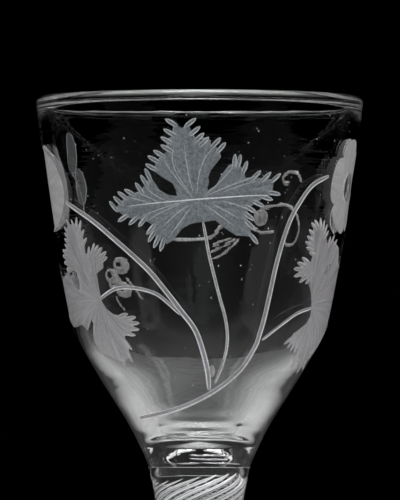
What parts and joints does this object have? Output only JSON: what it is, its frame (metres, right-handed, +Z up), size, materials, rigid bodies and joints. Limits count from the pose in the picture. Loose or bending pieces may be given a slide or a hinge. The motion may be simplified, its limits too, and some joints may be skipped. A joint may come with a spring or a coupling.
{
  "type": "air twist wine glass",
  "caption": "Stemmed drinking glass with a round-funnel bowl, a multi-spiral air twist stem and a conical foot with a kick underneath.",
  "frame": {"origin": "centre of the foot, on the plane that the glass stands on", "axes": "+Z up along the glass's axis of revolution, -Y towards the front, where the large engraved leaf is, +X to the right seen from the front"},
  "size_m": [0.072, 0.072, 0.155],
  "materials": {
    "bowl_glass": "clear fire-polished lead glass, wheel-engraved outside and left matt where it is cut",
    "stem_glass": "clear fire-polished lead glass with threads of air inside it",
    "foot_glass": "clear lead glass, fire-polished above, with fine wear on the ring that it stands on"
  },
  "bodies": {
    "root": {"bowl": "bowl_glass", "stem": "stem_glass", "foot": "foot_glass"}
  },
  "joints": []
}
